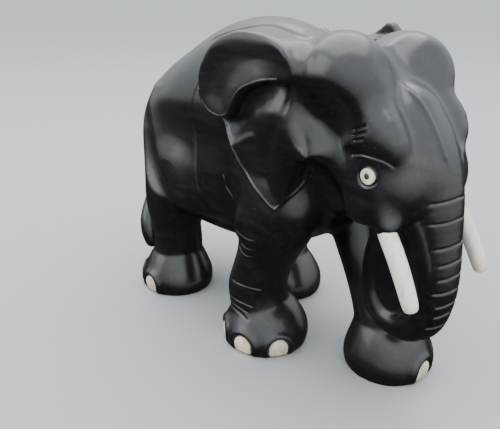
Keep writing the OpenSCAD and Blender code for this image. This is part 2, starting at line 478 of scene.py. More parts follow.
@dataclass(frozen=True)
class Nail(Assembly):
    """One toenail let into the rim of a foot."""

    foot: Foot
    number: int
    wide: float = 16.5
    middle: float = 7.6  # height of the widest part
    lowest: float = 1.0  # height of the straight lower edge
    deep: float = 4.0
    proud: float = 0.8
    bed: float = 2.5  # depth of the bed cut in the foot
    gap: float = 0.9  # width of the groove between the nail and the wood
    square: float = 0.3  # squareness of the lower corners, from 0 to 1 for round
    dome: Vec = (0.0, 0.25, 0.5, 0.7, 0.83, 0.92, 0.97, 1.0)  # rings, as shares of its size

    @property
    def turn(self) -> float:
        """Returns the degrees outward that the nail faces."""
        return self.foot.turns[self.number - 1]

    def heading(self) -> tuple[float, float]:
        """Returns the level direction that the nail faces."""
        angle = np.radians(self.turn)
        return float(np.cos(angle)), float(np.sin(angle) * self.foot.side.value)

    def spot(self, out: float) -> tuple[float, float]:
        """Returns X and Y at a distance from the foot's middle, towards the nail."""
        x, y = self.heading()
        return self.foot.sole[0] + out * x, self.foot.sole[1] + out * y

    def knuckle(self) -> Egg:
        """Shapes the swelling of the foot round the nail.

        Returns:
            The swelling, as a form to add.
        """
        x, y = self.heading()
        return Egg((*self.spot(self.foot.radius - 1.6), self.middle + 1), (2.6, 12.5, 12),
                   tilt_z=float(np.degrees(np.arctan2(y, x))))

    def reach(self) -> tuple[np.ndarray, np.ndarray]:
        """Returns the lowest and highest corner of the nail's bed."""
        spot, margin = np.array((*self.spot(self.foot.radius), self.middle)), 12
        return spot - margin, spot + margin

    def distance(self, x: np.ndarray, y: np.ndarray, z: np.ndarray) -> np.ndarray:
        """Gives the rough distance to the bed that the nail lies in.

        Args:
            x: X of the samples.
            y: Y of the samples.
            z: Z of the samples.

        Returns:
            Distances, negative inside.
        """
        ahead, aside = self.heading()
        u, v = x - self.foot.sole[0], y - self.foot.sole[1]
        out, across = u * ahead + v * aside, v * ahead - u * aside
        arch = np.hypot(across, np.maximum(z - self.middle, 0)) - self.wide / 2 - self.gap
        return np.maximum(arch, self.foot.radius - self.bed - out)

    def ring(self, share: float, out: float) -> list[Vec]:
        """Makes one ring of the nail, shaped as its outline.

        Args:
            share: the ring's size, as a share of the outline.
            out: how far it stands out of the foot.

        Returns:
            The ring's points.
        """
        x, y = self.heading()
        heights, radii = zip(*FOOT_BELL)
        points = []
        for c, d in circle(48):
            across = self.wide / 2 * np.sign(c) * abs(c) ** (1 if d > 0 else self.square) * share
            high = self.wide / 2 * d
            if d <= 0:
                high = (self.lowest - self.middle) * abs(d) ** self.square
            z = self.middle + high * share
            r = self.foot.radius * float(np.interp(z, heights, radii)) + out
            angle = across / self.foot.radius
            along, aside = r * np.cos(angle), r * np.sin(angle)
            points.append((self.foot.sole[0] + AHEAD + along * x - aside * y,
                           self.foot.sole[1] + along * y + aside * x, z))
        return points

    def build(self) -> bpy.types.Object:
        """Makes the nail, curved round the foot and softly domed.

        Returns:
            The nail.
        """
        rings = []
        for share in self.dome:
            out = self.proud * (1 - max(share - 0.35, 0) ** 3 / 0.28)
            rings.append(self.ring(share, out - 50 * max(share - 0.9, 0) ** 2))
        rings += [self.ring(1.0, -1.5), self.ring(0.98, -self.deep), self.ring(0.0, -self.deep)]
        return skin(rings, f"nail_{self.foot.name}_{self.number}_bone")


NAILS = tuple(Nail(foot, number) for foot in FEET for number in range(1, len(foot.turns) + 1))


@dataclass(frozen=True)
class Tusk(Assembly):
    """A short blunt tusk that grows out of its sheath in a slight curve."""

    side: Side
    rows: Table = (
        (141, 36.5, 147, 5.0), (146, 36.6, 141.5, 5.6), (151.5, 37.4, 134, 5.8),
        (159, 38.4, 123.5, 5.8), (165.5, 39.1, 112.5, 5.6), (171.2, 39.6, 101.5, 5.2),
        (173.3, 39.7, 96.8, 4.6), (174.2, 39.7, 94.8, 3.2), (174.5, 39.7, 94.1, 0.02),
    )
    facets: int = 5  # faint flats left by the file
    facet: float = 0.02

    def build(self) -> bpy.types.Object:
        """Makes the tusk as a tube round its curve.

        Returns:
            The tusk.
        """
        rows = glide(self.rows, 6)
        rings = []
        for i, (x, y, z, r) in enumerate(rows):
            before, after = rows[max(i - 1, 0)], rows[min(i + 1, len(rows) - 1)]
            way = Vector((after - before)[:3])
            way.y *= self.side.value
            way.normalize()
            flat = way.cross(Vector((0, 1, 0))).normalized()
            over = way.cross(flat)
            middle = Vector((x + AHEAD, y * self.side.value, z))
            ring = []
            for j, (c, d) in enumerate(circle(40)):
                flats = np.cos(self.facets * 2 * np.pi * j / 40 + 0.6)
                ring.append(middle + (flat * c + over * d) * r * (1 + self.facet * flats))
            rings.append(ring)
        return skin(rings, f"tusk_{self.side.name.lower()}_bone")


@dataclass(frozen=True)
class Eye(Assembly):
    """A bone washer let into the cheek, with a steel pin for its pupil."""

    side: Side
    middle: Vec = (136, 43.7, 171)
    ring_groove: float = 6.0  # radius of the groove cut round the washer
    # distance out of the cheek and radius, along each profile
    washer: Table = (
        (-2, 5), (0.3, 5), (0.75, 4.8), (1, 4.4), (1.05, 3.2), (1.0, 2.1), (0.75, 1.8),
        (-1.2, 1.7),
    )
    pin: Table = ((-6, 1.3), (0.45, 1.3), (0.7, 1.15), (0.85, 0.7), (0.9, 0.2))

    def turned(self, name: str, profile: Table) -> bpy.types.Object:
        """Turns a profile round the axis that points out of the cheek.

        Args:
            name: start of the piece's name.
            profile: rows of distance and radius.

        Returns:
            The new piece.
        """
        x, y, z = self.middle
        rings = [
            [(x + AHEAD + r * c, (y + out) * self.side.value, z + r * d) for c, d in circle(48)]
            for out, r in profile
        ]
        return skin(rings, name)


# ---- the sculpture ----


@dataclass(frozen=True)
class Leaf:
    """A plate that stands beside the body, with its outline seen from the side."""

    outline: Table  # x, z points round the edge
    side: int
    face: Table  # z and the outer face's distance from the middle plane
    thick: float
    relief: Callable[[np.ndarray, np.ndarray, np.ndarray], np.ndarray]
    roll: float = 2.5  # rounding of the outer edge

    def edge(self, x: np.ndarray, z: np.ndarray) -> np.ndarray:
        """Gives the distance to the outline in the side view.

        Args:
            x: X of the samples.
            z: Z of the samples.

        Returns:
            Distances, negative inside the outline.
        """
        ring = np.array(self.outline, float)
        ring = glide(np.vstack([ring, ring[:1]]), 3)
        far = np.full(np.broadcast_shapes(x.shape, z.shape), 1e9)
        inside = np.zeros(far.shape, bool)
        for (ax, az), (bx, bz) in zip(ring[:-1], ring[1:]):
            dx, dz = bx - ax, bz - az
            along = ((x - ax) * dx + (z - az) * dz) / max(dx * dx + dz * dz, 1e-6)
            along = np.clip(along, 0, 1)
            far = np.minimum(far, (x - ax - along * dx) ** 2 + (z - az - along * dz) ** 2)
            if abs(dz) > 1e-6:
                inside ^= ((az > z) != (bz > z)) & (x < dx * (z - az) / dz + ax)
        return np.sqrt(far) * np.where(inside, -1, 1)

    def reach(self) -> tuple[np.ndarray, np.ndarray]:
        """Returns the lowest and highest corner of the plate.

        Returns:
            The corners, in millimetres.
        """
        ring, face = np.array(self.outline, float), np.array(self.face, float)
        near, wide = face[:, 1].min() - self.thick - 6, face[:, 1].max() + 8
        y = sorted((near * self.side, wide * self.side))
        low, high = ring.min(0), ring.max(0)
        return np.array([low[0], y[0], low[1]]), np.array([high[0], y[1], high[1]])

    def distance(self, x: np.ndarray, y: np.ndarray, z: np.ndarray) -> np.ndarray:
        """Gives the rough distance to the plate.

        Args:
            x: X of the samples.
            y: Y of the samples.
            z: Z of the samples.

        Returns:
            Distances, negative inside.
        """
        rim = self.edge(x, z)
        face = np.array(self.face, float)
        height = np.interp(z, face[:, 0], face[:, 1]) + self.relief(x, z, rim)
        outer = 0.9 * (y * self.side - height)
        inner = 0.9 * (height - self.thick - y * self.side)
        return np.maximum(-soft_min(-outer, -rim, self.roll), inner)


def path_gap(x: np.ndarray, z: np.ndarray, path: Table) -> np.ndarray:
    """Gives the distance in a view to a line of points.

    Args:
        x: first coordinate of the samples.
        z: second coordinate.
        path: the line's points.

    Returns:
        Distances, never negative.
    """
    far = np.full(np.broadcast_shapes(np.shape(x), np.shape(z)), 1e9)
    for (ax, az), (bx, bz) in zip(path[:-1], path[1:]):
        dx, dz = bx - ax, bz - az
        along = np.clip(((x - ax) * dx + (z - az) * dz) / (dx * dx + dz * dz), 0, 1)
        far = np.minimum(far, (x - ax - along * dx) ** 2 + (z - az - along * dz) ** 2)
    return np.sqrt(far)


def hump(gap: np.ndarray, width: float) -> np.ndarray:
    """Returns a smooth bump that is 1 at no distance and fades over a width."""
    return np.exp(-((gap / width) ** 2))


class View(Enum):
    """The direction a stroke is drawn from: the two axes it shows and the axis it looks along."""

    SIDE = (0, 2, 1)
    FRONT = (1, 2, 0)
    TOP = (0, 1, 2)


@dataclass(frozen=True)
class Stroke:
    """A fine line worked into the surface after the masses, seen square on from one view."""

    view: View
    sign: int  # which way the surface faces along the view's axis
    points: Table
    width: float
    height: float  # below zero for a cut line
    span: Vec = (-400, 400)  # the part of the view's axis that it reaches
    fade: float = 0.0  # length over which each end dies away
    turned_away: float = 0.12  # a surface that faces the view less than this is left alone

    def weight(self, spot: np.ndarray, normal: np.ndarray, width: float) -> np.ndarray:
        """Gives how strongly the stroke works on each point.

        Args:
            spot: the points.
            normal: the surface's directions there.
            width: how wide the stroke's bump is.

        Returns:
            Shares from 0 to 1.
        """
        across, upward, axis = self.view.value
        ok = normal[:, axis] * self.sign > self.turned_away
        ok &= (spot[:, axis] > self.span[0]) & (spot[:, axis] < self.span[1])
        line = glide(self.points, 4) if len(self.points) > 2 else np.array(self.points, float)
        low, high = line.min(0) - 3 * width, line.max(0) + 3 * width
        ok &= (spot[:, across] > low[0]) & (spot[:, across] < high[0])
        ok &= (spot[:, upward] > low[1]) & (spot[:, upward] < high[1])
        out = np.zeros(len(spot))
        a, b = spot[ok, across], spot[ok, upward]
        share = hump(path_gap(a, b, line), width)
        if self.fade:
            for end in (line[0], line[-1]):
                share *= np.clip(np.hypot(a - end[0], b - end[1]) / self.fade, 0, 1)
        out[ok] = share
        return out


# Faces are divided once for each strip. A strip's reach is a multiple of its stroke's width.
STRIPS = (3.0, 2.2)
STRIP_EDGE = 0.35  # the stroke's share at which a strip ends


def read_points(shape: bmesh.types.BMesh, shift: float) -> tuple[np.ndarray, np.ndarray]:
    """Reads a shape's points.

    Args:
        shape: the shape, in metres.
        shift: how far it was moved along X, in millimetres.

    Returns:
        The points before the move, in millimetres, and the surface's directions there.
    """
    shape.verts.ensure_lookup_table()
    shape.normal_update()
    spot = np.array([v.co for v in shape.verts]) / MM - (shift, 0, 0)
    return spot, np.array([v.normal for v in shape.verts])


def work_strokes(mesh: bpy.types.Mesh, strokes: Sequence[Stroke], shift: float) -> None:
    """Divides the faces near some strokes and works the strokes into them.

    Args:
        mesh: the surface, in metres.
        strokes: the lines, in millimetres.
        shift: how far the mesh was moved along X, in millimetres.
    """
    shape = bmesh.new()
    shape.from_mesh(mesh)
    for reach in STRIPS:
        spot, normal = read_points(shape, shift)
        near = np.zeros(len(spot), bool)
        for stroke in strokes:
            near |= stroke.weight(spot, normal, stroke.width * reach) > STRIP_EDGE
        edges = [e for e in shape.edges if near[e.verts[0].index] and near[e.verts[1].index]]
        bmesh.ops.subdivide_edges(shape, edges=edges, cuts=1, use_grid_fill=True)
        shape.verts.index_update()
    spot, normal = read_points(shape, shift)
    push = np.zeros(len(spot))
    for stroke in strokes:
        push += stroke.weight(spot, normal, stroke.width) * stroke.height
    moved = spot + (shift, 0, 0) + normal * push[:, None]
    for vert in shape.verts:
        if push[vert.index]:
            vert.co = moved[vert.index] * MM
    shape.to_mesh(mesh)
    shape.free()


@dataclass(frozen=True)
class Ear:
    """One ear: a hollow lower leaf under a leaf that is folded over. Tables hold x, z points."""

    side: Side
    # the folded leaf: its upper outline, the place of its face, and its thickness
    top: Table = (
        (86, 239), (81, 243), (71, 246.5), (56, 248.5), (40, 248.5), (27, 245), (15, 239), (6, 230),
    )
    upright: Table = (
        (180, 65), (200, 66.5), (212, 67), (224, 67), (236, 66.5), (243, 65), (250, 62),
    )
    thick: float = 21
    edge: Table = (
        (0, 219), (-1.5, 208), (0, 199), (6, 193), (14, 189.5), (23, 189), (30, 191), (36, 196.5),
        (41, 204), (49, 211), (57, 215), (67, 218.5), (78, 220.5), (88, 221), (92, 226), (91, 233),
    )
    # the lower leaf: its outline and the place of its face
    lower: Table = (
        (9, 190), (11, 188), (19, 179), (27, 170), (34, 160), (43, 152), (52, 146), (61, 140),
        (68, 134.5), (73, 133), (76.5, 137.5), (81.5, 146), (86.5, 154.5), (91, 162.5),
        (95.5, 169.5), (102, 174.5), (103, 181), (100, 190), (95, 200), (90, 209), (88, 219),
        (88, 229), (84, 238), (66, 240), (36, 238), (14, 225), (6, 206),
    )
    face: Table = (
        (130, 55), (141, 60), (149, 62), (160, 64), (184, 65), (200, 66.5), (212, 65.5),
        (224, 63), (236, 58.5), (244, 54.5), (252, 49),
    )
    valley: Table = ((16, 186), (30, 189), (38, 196), (47, 206), (60, 213), (78, 217))
    fold: Table = ((31, 171), (37, 174), (44, 178), (51, 181))
    crease: Table = ((66, 136), (69, 156), (72, 172), (76, 186), (81, 197), (84, 210))

    def low_form(self, x: np.ndarray, z: np.ndarray, rim: np.ndarray) -> np.ndarray:
        """Shapes the lower leaf, hollow under the fold, with a rim and two creases.

        Args:
            x: X of the samples.
            z: Z of the samples.
            rim: distances to the leaf's outline, negative inside it.

        Returns:
            How far the leaf's surface stands out of its face.
        """
        edge_x = np.interp(z, [c[1] for c in self.crease], [c[0] for c in self.crease])
        front = 1 / (1 + np.exp(-(x - edge_x) / 1.8))
        behind = [(a - 5, b) for a, b in self.crease]
        above = [(a + 2, b + 5) for a, b in self.fold]
        return (
            -3.2 - 5.5 * hump(path_gap(x, z, self.valley), 11)
            + 1.2 * hump(rim + 1.4, 1.5) + 0.6 * front
            - 1.6 * hump(path_gap(x, z, behind), 5)
            + 0.8 * hump(path_gap(x, z, self.fold), 2.0)
            - 0.7 * hump(path_gap(x, z, above), 3.5)
        )

    def high_form(self, x: np.ndarray, z: np.ndarray, rim: np.ndarray) -> np.ndarray:
        """Shapes the folded leaf, a scoop inside a raised edge that is open in front.

        Args:
            x: X of the samples.
            z: Z of the samples.
            rim: distances to the leaf's outline, negative inside it.

        Returns:
            How far the leaf's surface stands out of its face.
        """
        front = np.clip((x - 58) / 24, 0, 1) * np.clip((243 - z) / 16, 0, 1)
        scoop = 1 - (1 - np.clip(-rim / 18, 0, 1)) * (1 - front)
        return 1.4 - 2.8 * scoop * scoop * (3 - 2 * scoop)

    def add_to(self, clay: Clay) -> None:
        """Adds both leaves to the clay.

        Args:
            clay: the clay it is added to.
        """
        sign, upper = self.side.value, (*self.top, *self.edge)
        clay.add(Leaf(self.lower, sign, self.face, 17, self.low_form, 1.5), 1.5)
        clay.add(Leaf(upper, sign, self.upright, self.thick, self.high_form, 2.5), 0.8)


# The left ear's flap has a pointed front corner and leans further in.
LEFT_FLAP_TOP = (
    (78, 243), (71, 250), (64, 246), (52, 240), (30, 238), (9, 239), (-1, 242), (-3, 230),
)
LEFT_FLAP_FACE = ((180, 65), (200, 66), (224, 64), (240, 60.5), (250, 58))


@dataclass(frozen=True)
class Carving(Assembly):
    """The wooden body in one block, with head, ears, trunk, legs and tail."""

    pitch: float = 1.25
    name: str = "ebony_body"
    ankle_front: float = 24.5
    ankle_hind: float = 23.0

    def masses(self, clay: Clay) -> None:
        """Adds the barrel of the body and the neck.

        Args:
            clay: the clay that is shaped.
        """
        clay.add(Across([
            (-160, 152, 128, 9), (-156, 167, 108, 20), (-146, 182, 92, 32),
            (-126, 198, 79, 46), (-98, 215, 71, 57), (-66, 231, 68, 62),
            (-36, 245.5, 68, 61), (-6, 252.6, 71, 60), (22, 251, 76, 57), (46, 243.5, 85, 51),
            (70, 234, 99, 45), (92, 214, 122, 36),
        ], 2.25), 0)
        clay.add(Across([
            (50, 240, 108, 44), (72, 238, 114, 47), (92, 234, 124, 45),
            (108, 226, 132, 40), (118, 214, 140, 30),
        ], 2.4), 8)
        clay.both(lambda s: Rope([
            (-80, 101 * s, 172, 42), (-40, 101.5 * s, 168, 42), (0, 100 * s, 166, 42),
        ]), 10, cut=True)

    def leg(self, clay: Clay, foot: Foot, ankle: float, rows: Table, crease: float) -> None:
        """Adds one leg.

        Args:
            clay: the clay it is added to.
            foot: the foot it stands on.
            ankle: radius above the foot.
            rows: z, x, y and the two half sizes as shares of the ankle, going up.
            crease: size of the fillet where the leg meets the foot.
        """
        limb = [(z, x, y, a * ankle, b * ankle) for z, x, y, a, b in rows]
        clay.add(Upright(limb), 9)
        bell = [(z, *foot.sole, foot.radius * r, foot.radius * r) for z, r in FOOT_BELL]
        clay.add(Upright(bell), crease)

    def legs(self, clay: Clay) -> None:
        """Adds the four legs.

        Args:
            clay: the clay that is shaped.
        """
        front_right, front_left, hind_right, hind_left = FEET
        self.leg(clay, front_right, self.ankle_front, [
            (14, 29, -32, 0.95, 0.95), (30, 28, -33, 1, 0.98), (48, 27, -34, 1, 0.98),
            (66, 33, -35, 0.97, 0.95), (85, 42, -36, 1.03, 0.97),
            (105, 50, -37, 1.22, 1.05), (130, 54, -38, 1.36, 1.06), (160, 50, -34, 1.36, 1),
            (185, 44, -26, 1.05, 0.75),
        ], 3)
        self.leg(clay, front_left, self.ankle_front, [
            (14, 121, 20, 0.95, 0.95), (32, 117, 21, 1, 1), (48, 110, 24, 1.02, 1.02),
            (66, 99, 26, 1.02, 0.98), (85, 88, 28, 1.1, 1),
            (105, 76, 32, 1.25, 1.05), (130, 62, 36, 1.4, 1.06), (160, 52, 34, 1.4, 1),
            (185, 44, 26, 1.05, 0.75),
        ], 12)
        self.leg(clay, hind_right, self.ankle_hind, [
            (14, -92, -36, 0.95, 0.95), (30, -92, -35, 1, 1), (46, -91, -35, 1, 1),
            (64, -90, -37, 1.04, 1), (84, -90, -39, 1.2, 1.04),
            (105, -88, -38, 1.34, 1.1), (130, -87, -36, 1.34, 1.1), (160, -88, -32, 1.4, 1.0),
            (190, -86, -26, 1.2, 0.8),
        ], 11)
        self.leg(clay, hind_left, self.ankle_hind, [
            (14, -18, 41, 0.95, 0.95), (30, -21, 41, 1, 1), (46, -25, 41, 1.03, 1),
            (64, -38, 41, 1.1, 1), (84, -53, 41, 1.26, 1.04),
            (105, -68, 41, 1.5, 1.1), (130, -80, 39, 1.7, 1.14), (160, -88, 34, 1.75, 1.05),
            (190, -88, 26, 1.3, 0.8),
        ], 9)
        # elbow knobs behind the forearms
        clay.add(Rope([(47, -42, 128, 14), (41, -48, 117, 16), (38, -49.5, 108, 14)]), 3)
        clay.add(Rope([(58, 44, 140, 17), (56, 47, 126, 16), (58, 46, 116, 13)]), 5)
        # haunches
        clay.add(Egg((-52, -44, 122), (34, 23, 30)), 14)
        clay.add(Egg((-64, 44, 120), (34, 24, 32)), 14)

    def toes(self, clay: Clay) -> None:
        """Raises a knuckle above each toenail and sinks the bed that the nail lies in.

        Args:
            clay: the clay that is shaped.
        """
        for nail in NAILS:
            clay.add(nail.knuckle(), 4)
        for nail in NAILS:
            clay.cut(nail, 0.6)

    def haunch_scoops(self, clay: Clay) -> None:
        """Cuts the long scoop behind each thigh, which leaves a crisp crest.

        Args:
            clay: the clay that is shaped.
        """
        clay.cut(Rope([
            (-148, -48, 198, 22), (-124, -69, 182, 25), (-109, -76, 164, 26),
            (-101, -78, 148, 26), (-92, -78, 133, 24), (-80, -77, 119, 20),
            (-67, -74, 107, 15), (-55, -70, 98, 9),
        ]), 2.5)
        clay.cut(Rope([
            (-148, 48, 198, 22), (-127, 69, 182, 25), (-119, 76, 163, 26),
            (-117, 78, 148, 26), (-113, 78, 133, 24), (-107, 77, 119, 20),
            (-97, 74, 107, 16), (-86, 70, 97, 11),
        ]), 2.5)

    def head(self, clay: Clay) -> None:
        """Adds the skull, the two domes, the brows and the cheeks.

        Args:
            clay: the clay that is shaped.
        """
        rows = [
            (128, 112, 134, 20), (136, 106, 148, 33), (146, 100, 158, 41), (158, 95, 164, 43.5),
            (170, 90, 165, 43), (182, 86, 160, 42), (194, 84, 152, 41), (206, 82, 142, 42),
            (218, 82, 129, 42), (230, 84, 116, 38), (240, 90, 106, 24),
        ]
        clay.add(Upright([(z, (a + b) / 2, 0, (b - a) / 2, w) for z, a, b, w in rows], 2.3), 6)
        clay.add(Egg((101, -31, 222), (31, 27, 28.5)), 9)
        clay.add(Egg((102, 32.5, 218.5), (32.5, 28, 28.5)), 9)
        clay.both(lambda s: Rope([
            (108, 30 * s, 214, 22), (124, 31 * s, 203, 15.5), (137, 32 * s, 193, 13),
            (143, 31 * s, 184, 8),
        ]), 8)
        # cheekbone in front of the ear, and the sheath that the tusk grows from
        clay.both(lambda s: Rope([
            (94, 39 * s, 186, 9.5), (104, 37.5 * s, 176, 9), (112, 36.5 * s, 168, 7),
        ]), 13)
        clay.both(lambda s: Egg((146, 24 * s, 157), (12, 12, 20)), 8)
        clay.both(lambda s: Rope([
            (130, 31 * s, 158, 10), (138, 32.6 * s, 150, 8.4), (144, 34.6 * s, 144.5, 7.7),
            (147.5, 35.8 * s, 140.5, 7.5),
        ]), 9)
        # hollows: temple, neck, both sides of the face ridge
        clay.both(lambda s: Egg((112, 68 * s, 200), (25, 24, 19), tilt_y=15), 9, cut=True)
        clay.both(lambda s: Egg((98, 57 * s, 150), (15, 15, 22)), 9, cut=True)
        clay.cut(Rope([
            (146, -21, 238, 20), (154, -21, 228, 20), (161, -22, 218, 20), (167, -22, 209, 20),
            (174, -22, 198, 20), (181, -23, 188, 20),
        ]), 5)
        clay.cut(Rope([
            (156, 13, 250, 38), (166, 13, 238, 39), (175, 13, 227, 40), (183, 13, 215, 40),
            (191, 12, 201, 40), (199, 11, 188, 40),
        ]), 6)

    def cheeks(self, clay: Clay) -> None:
        """Adds the flat cheek plates that carry the eyes, with a heavy lid above each.

        Args:
            clay: the clay that is shaped.
        """
        outline = [
            (119, 181), (117.5, 168), (118, 154), (120, 145), (125, 139.5), (134, 138.5),
            (145, 142), (155, 149), (162, 158), (164, 170), (158, 180), (144, 184), (130, 183),
        ]
        face = [(136, 43.5), (150, 45), (171, 44.5), (186, 43.5)]
        for side in Side:
            clay.add(Leaf(outline, side.value, face, 16,
                          lambda x, z, rim: -0.035 * np.maximum(x - 134, 0) ** 2, 3), 2)
        clay.both(lambda s: Rope([
            (122, 38 * s, 188, 6), (132, 37.5 * s, 190, 8), (143, 32 * s, 187, 8),
        ]), 5)

    def trunk(self, clay: Clay) -> None:
        """Adds the trunk, curled back under to the mouth.

        Args:
            clay: the clay that is shaped.
        """
        clay.add(Rope([
            (126, 0, 196, 24), (139, 0, 176, 25), (149, 0, 156, 22.5), (157, 0, 132, 18.5),
            (162.5, 0, 108, 15.8), (164, 0, 86, 14.1), (159, 0, 66, 13.3), (145, 0, 54, 11.5),
            (129, 0, 55, 9.5), (118, 0, 66, 8.5), (115, 0, 81, 8), (116, 0, 97, 8.5),
            (121, 0, 114, 10), (124, 0, 134, 13),
        ], 5), 5)
        clay.add(Upright([
            (52, 137, 0, 15, 5), (64, 139, 0, 24, 5.5), (82, 140, 0, 26, 6),
            (102, 140, 0, 24, 7), (122, 140, 0, 20, 9), (136, 140, 0, 16, 12),
        ], 2.4), 2)

    def ears(self, clay: Clay) -> None:
        """Adds both ears, laid back against the shoulders."""
        for ear in (Ear(Side.RIGHT), Ear(Side.LEFT, LEFT_FLAP_TOP, LEFT_FLAP_FACE, 10)):
            ear.add_to(clay)

    def tail(self, clay: Clay) -> None:
        """Adds the tail, hanging behind the rump and over to the right hind leg.

        Args:
            clay: the clay that is shaped.
        """
        clay.add(Rope([
            (-144, 0, 172, 9), (-156, 3, 162, 9), (-159, 6, 144, 7.5), (-156, 4, 124, 6.5),
            (-151, -6, 104, 6.5), (-146, -19, 87, 7), (-140, -32, 71, 8.5), (-134, -40, 57, 10),
            (-129, -44, 44, 9.5), (-126, -45, 34, 7),
        ]), 3)

    def trunk_lines(self) -> list[Stroke]:
        """Lists the wrinkles across the front of the trunk.

        Returns:
            The wrinkles' strokes.
        """
        return [
            Stroke(View.FRONT, 1, [(low, z - 0.5), (low / 2, z + 1.5), (0, z + 2.5), (high, z + 1)],
                   0.8, -0.9, (140, 200), 2)
            for z, low, high in (
                (155, -19, 9), (142, -18, 11), (126, -15, 12), (115, -13, 9), (105, -13, 11),
                (95, -14, 10), (85, -12, 8), (77, -11, 5), (67, -12, 4),
            )
        ]

    def face_lines(self, side: Side) -> list[Stroke]:
        """Lists the brow wrinkles, the eyelid crease and the groove round the eye.

        Args:
            side: which side of the head.

        Returns:
            The side's strokes.
        """
        eye, span = Eye(side), (-60, 60)
        brow = (((122, 196), (133, 201)), ((122, 193), (133, 197)), ((124, 190.5), (133, 193.5)))
        lines = [Stroke(View.SIDE, side.value, ends, 0.7, -0.9, span, 2) for ends in brow]
        lid = [(122, 181), (130, 183), (138, 183), (145, 181.5), (150, 178)]
        lines.append(Stroke(View.SIDE, side.value, lid, 0.55, -0.9, span, 2))
        x, z, r = eye.middle[0], eye.middle[2], eye.ring_groove
        ring = [(x + r * np.cos(a), z + r * np.sin(a)) for a in np.arange(0, 6.6, 0.4)]
        lines.append(Stroke(View.SIDE, side.value, ring, 0.7, -1.0, span))
        return lines

    def flank_lines(self, side: Side) -> list[Stroke]:
        """Lists the fold and the crack of the flank, and the raised rims of the ear.

        Args:
            side: which side of the body.

        Returns:
            The side's strokes.
        """
        span = (-80, 80)
        fold = [
            (-6, 232), (-16, 214), (-22, 200), (-24, 184), (-22, 165), (-20, 148), (-18, 130),
            (-16, 114), (-16, 100),
        ]
        crack = [(12, 146), (14, 140), (15, 133), (19, 127), (21, 121)]
        rims = (
            [(12.5, 188.5), (20, 180), (28, 171), (35, 161.5), (44, 153.3), (53, 147),
             (62, 141.3), (69, 136), (73, 134.2)],
            [(73, 134.4), (77.3, 139.6), (81.8, 147.2), (86.4, 155.4), (90.6, 163)],
            [(0.5, 206), (1.8, 200), (6.8, 194.6), (14, 191.2), (23, 190.6), (29.5, 192.6),
             (35, 198), (40, 205.6), (48, 212.8), (57, 216.8), (67, 220.2), (79, 222)],
        )
        return [
            Stroke(View.SIDE, side.value, fold, 1.6, -1.1, span, 6),
            Stroke(View.SIDE, side.value, crack, 0.9, -1.1, span, 3),
            *(Stroke(View.SIDE, side.value, rim, 0.8, 0.6, span) for rim in rims),
        ]

    def limb_lines(self) -> list[Stroke]:
        """Lists the wrinkles of the right foreleg and the hair of the tail.

        Returns:
            The strokes of both.
        """
        lines = []
        for x, z, high in ((16, 29, 1.5), (14, 34, 1.2), (18, 40, 1.0), (24, 57, 0.8)):
            path = [(x - 4, z), (x + 6, z + high), (x + 16, z + high), (x + 26, z - 1)]
            lines.append(Stroke(View.SIDE, -1, path, 0.8, -0.8, (-80, 0), 3))
        for x, z in ((44, 95), (46, 104), (42, 88)):
            path = [(x - 14, z + 4), (x, z), (x + 12, z + 3)]
            lines.append(Stroke(View.SIDE, -1, path, 0.9, -0.8, (-80, 0), 4))
        for y in (-49, -46.5, -44, -41.5, -39):
            path = [(y + 9, 66), (y + 3, 54), (y, 44), (y + 0.5, 33)]
            lines.append(Stroke(View.FRONT, -1, path, 0.7, -0.8, (-200, -100), 3))
        path = [(-2, 112), (-8, 101), (-16, 90)]
        lines.append(Stroke(View.FRONT, -1, path, 0.7, -0.6, (-200, -100), 3))
        return lines

    def strokes(self) -> list[Stroke]:
        """Lists every fine line: wrinkles, creases and ridges.

        Returns:
            The strokes of the whole body.
        """
        ridge = [(-9, 222), (-9, 213), (-8, 206), (-8, 196), (-8, 186), (-7, 176)]
        spine = [(-30, -34), (-11, -31), (5, -26), (21, -18), (41, -13), (54, -10)]
        lines = self.trunk_lines()
        lines.append(Stroke(View.FRONT, 1, ridge, 1.6, 1.3, (110, 200), 6))
        for side in Side:
            lines += self.face_lines(side) + self.flank_lines(side)
        lines += self.limb_lines()
        lines.append(Stroke(View.TOP, 1, spine, 1.4, 0.9, (200, 270), 6))
        return lines

    def build(self) -> bpy.types.Object:
        """Sculpts the body and returns it as a mesh object.

        Returns:
            The body.
        """
        clay = Clay((-176, -78, -6), (190, 84, 262), self.pitch)
        self.masses(clay)
        self.legs(clay)
        self.toes(clay)
        self.haunch_scoops(clay)
        self.ears(clay)
        self.head(clay)
        self.cheeks(clay)
        self.trunk(clay)
        self.tail(clay)
        clay.smooth(1)
        points, faces = clay.quads()
        points[:, 0] += AHEAD
        mesh = bpy.data.meshes.new(self.name)
        mesh.from_pydata((points * MM).tolist(), [], faces.tolist())
        mesh.update()
        work_strokes(mesh, self.strokes(), AHEAD)
        return place(mesh)


# ---- finishes ----


